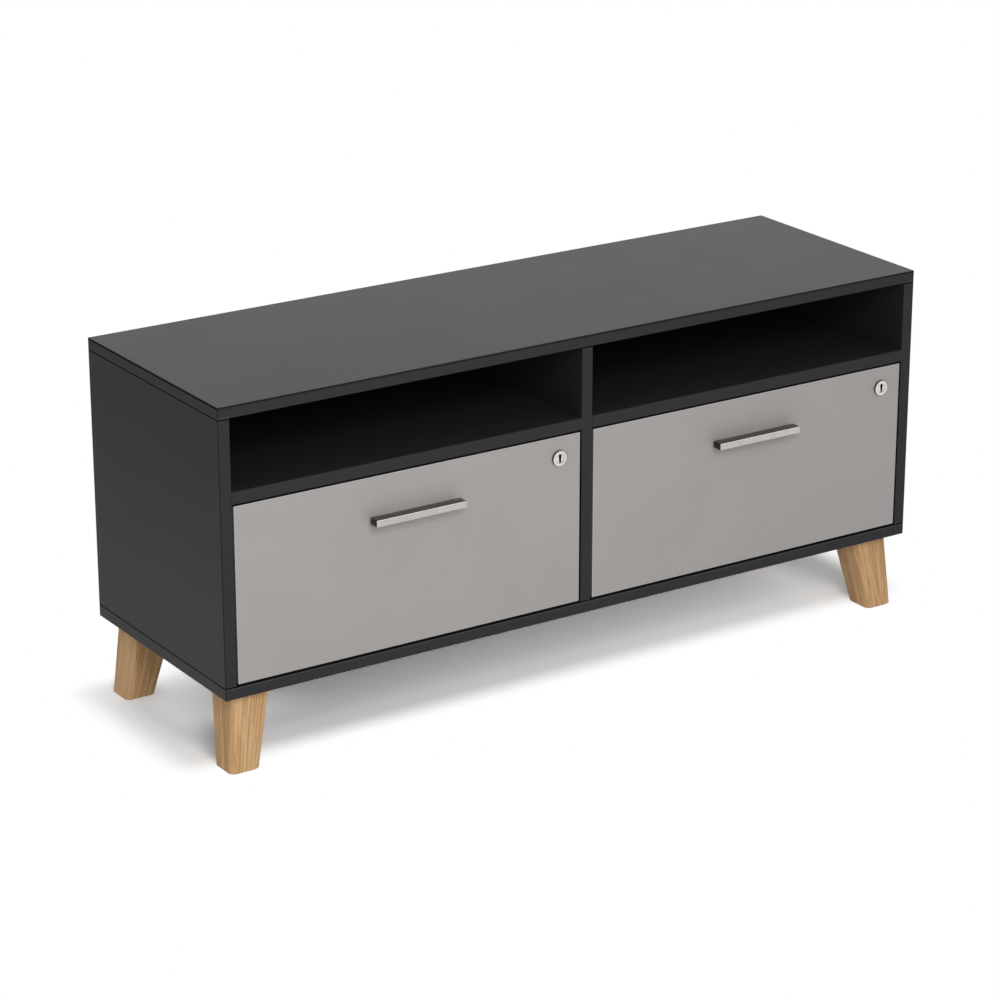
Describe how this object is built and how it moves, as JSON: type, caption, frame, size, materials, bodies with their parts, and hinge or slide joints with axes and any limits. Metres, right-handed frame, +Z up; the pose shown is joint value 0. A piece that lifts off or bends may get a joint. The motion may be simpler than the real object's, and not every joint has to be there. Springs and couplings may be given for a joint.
{
  "type": "credenza",
  "caption": "Low office credenza: open shelf bays above lockable drawers with bar handles, in a flat-panel body on splayed tapered wooden legs.",
  "frame": {"origin": "on the floor, under the middle of the whole object's box, handles included", "axes": "+X along the width to the right as seen from the front, +Y from the drawer fronts to the back, +Z up"},
  "size_m": [1.2, 0.406, 0.543],
  "materials": {
    "graphite_board": "matt graphite melamine on particle board",
    "grey_board": "matt warm grey melamine on particle board",
    "back_board": "matt dark lacquered fibreboard",
    "box_board": "matt light grey foil on board",
    "oak": "clear oiled solid oak",
    "dowel_wood": "plain beech",
    "cover_plastic": "matt dark plastic",
    "brushed_nickel": "brushed nickel on steel",
    "lock_chrome": "satin nickel plate",
    "runner_steel": "zinc plated steel",
    "zinc_steel": "zinc plated steel"
  },
  "bodies": {
    "cabinet": {"back_panel": "back_board", "back_panel_screws": "zinc_steel", "base_panel": "graphite_board", "cam_bolts": "zinc_steel", "cam_covers": "cover_plastic", "cam_discs": "zinc_steel", "carcass_dowels": "dowel_wood", "centre_divider": "graphite_board", "left_shelf": "graphite_board", "left_side_panel": "graphite_board", "leg_bolts": "zinc_steel", "leg_dowels": "dowel_wood", "leg_front_left": "oak", "leg_front_right": "oak", "leg_inserts": "zinc_steel", "leg_rear_left": "oak", "leg_rear_right": "oak", "lock_strikes": "zinc_steel", "right_shelf": "graphite_board", "right_side_panel": "graphite_board", "runner_wall_channels": "runner_steel", "runner_wall_screws": "zinc_steel", "strike_screws": "zinc_steel", "top_panel": "graphite_board"},
    "left_drawer": {"left_drawer_bottom": "box_board", "left_drawer_box_back": "box_board", "left_drawer_box_dowels": "dowel_wood", "left_drawer_box_side_left": "box_board", "left_drawer_box_side_right": "box_board", "left_drawer_front": "grey_board", "left_drawer_handle": "brushed_nickel", "left_drawer_handle_screws": "zinc_steel", "left_drawer_lock_barrel": "lock_chrome", "left_drawer_lock_nut": "zinc_steel", "left_drawer_runner_channels": "runner_steel", "left_drawer_wood_screws": "zinc_steel"},
    "left_lock": {"left_lock_cam": "zinc_steel", "left_lock_cam_screw": "zinc_steel", "left_lock_plug": "lock_chrome"},
    "left_middle_channels": {"left_runner_middle_channels": "runner_steel"},
    "left_outer_cages": {"left_runner_outer_ball_cages": "runner_steel"},
    "left_inner_cages": {"left_runner_inner_ball_cages": "runner_steel"},
    "right_drawer": {"right_drawer_bottom": "box_board", "right_drawer_box_back": "box_board", "right_drawer_box_dowels": "dowel_wood", "right_drawer_box_side_left": "box_board", "right_drawer_box_side_right": "box_board", "right_drawer_front": "grey_board", "right_drawer_handle": "brushed_nickel", "right_drawer_handle_screws": "zinc_steel", "right_drawer_lock_barrel": "lock_chrome", "right_drawer_lock_nut": "zinc_steel", "right_drawer_runner_channels": "runner_steel", "right_drawer_wood_screws": "zinc_steel"},
    "right_lock": {"right_lock_cam": "zinc_steel", "right_lock_cam_screw": "zinc_steel", "right_lock_plug": "lock_chrome"},
    "right_middle_channels": {"right_runner_middle_channels": "runner_steel"},
    "right_outer_cages": {"right_runner_outer_ball_cages": "runner_steel"},
    "right_inner_cages": {"right_runner_inner_ball_cages": "runner_steel"}
  },
  "joints": [
    {"name": "left_drawer_slide", "type": "slide", "parent": "cabinet", "child": "left_drawer", "axis": [0, -1, 0], "range_m": [0, 0.3]},
    {"name": "left_key_turn", "type": "hinge", "parent": "left_drawer", "child": "left_lock", "pos_m": [-0.049, -0.177, 0.367], "axis": [0, 1, 0], "range_deg": [0, 90]},
    {"name": "left_middle_channels_slide", "type": "slide", "parent": "cabinet", "child": "left_middle_channels", "axis": [0, -1, 0], "range_m": [0, 0.15]},
    {"name": "left_outer_cages_slide", "type": "slide", "parent": "cabinet", "child": "left_outer_cages", "axis": [0, -1, 0], "range_m": [0, 0.075]},
    {"name": "left_inner_cages_slide", "type": "slide", "parent": "cabinet", "child": "left_inner_cages", "axis": [0, -1, 0], "range_m": [0, 0.225]},
    {"name": "right_drawer_slide", "type": "slide", "parent": "cabinet", "child": "right_drawer", "axis": [0, -1, 0], "range_m": [0, 0.3]},
    {"name": "right_key_turn", "type": "hinge", "parent": "right_drawer", "child": "right_lock", "pos_m": [0.542, -0.177, 0.367], "axis": [0, 1, 0], "range_deg": [0, 90]},
    {"name": "right_middle_channels_slide", "type": "slide", "parent": "cabinet", "child": "right_middle_channels", "axis": [0, -1, 0], "range_m": [0, 0.15]},
    {"name": "right_outer_cages_slide", "type": "slide", "parent": "cabinet", "child": "right_outer_cages", "axis": [0, -1, 0], "range_m": [0, 0.075]},
    {"name": "right_inner_cages_slide", "type": "slide", "parent": "cabinet", "child": "right_inner_cages", "axis": [0, -1, 0], "range_m": [0, 0.225]}
  ],
  "couplings": [
    {"joint": "left_middle_channels_slide", "follows": "left_drawer_slide", "ratio": 0.5},
    {"joint": "left_outer_cages_slide", "follows": "left_drawer_slide", "ratio": 0.25},
    {"joint": "left_inner_cages_slide", "follows": "left_drawer_slide", "ratio": 0.75},
    {"joint": "right_middle_channels_slide", "follows": "right_drawer_slide", "ratio": 0.5},
    {"joint": "right_outer_cages_slide", "follows": "right_drawer_slide", "ratio": 0.25},
    {"joint": "right_inner_cages_slide", "follows": "right_drawer_slide", "ratio": 0.75}
  ]
}
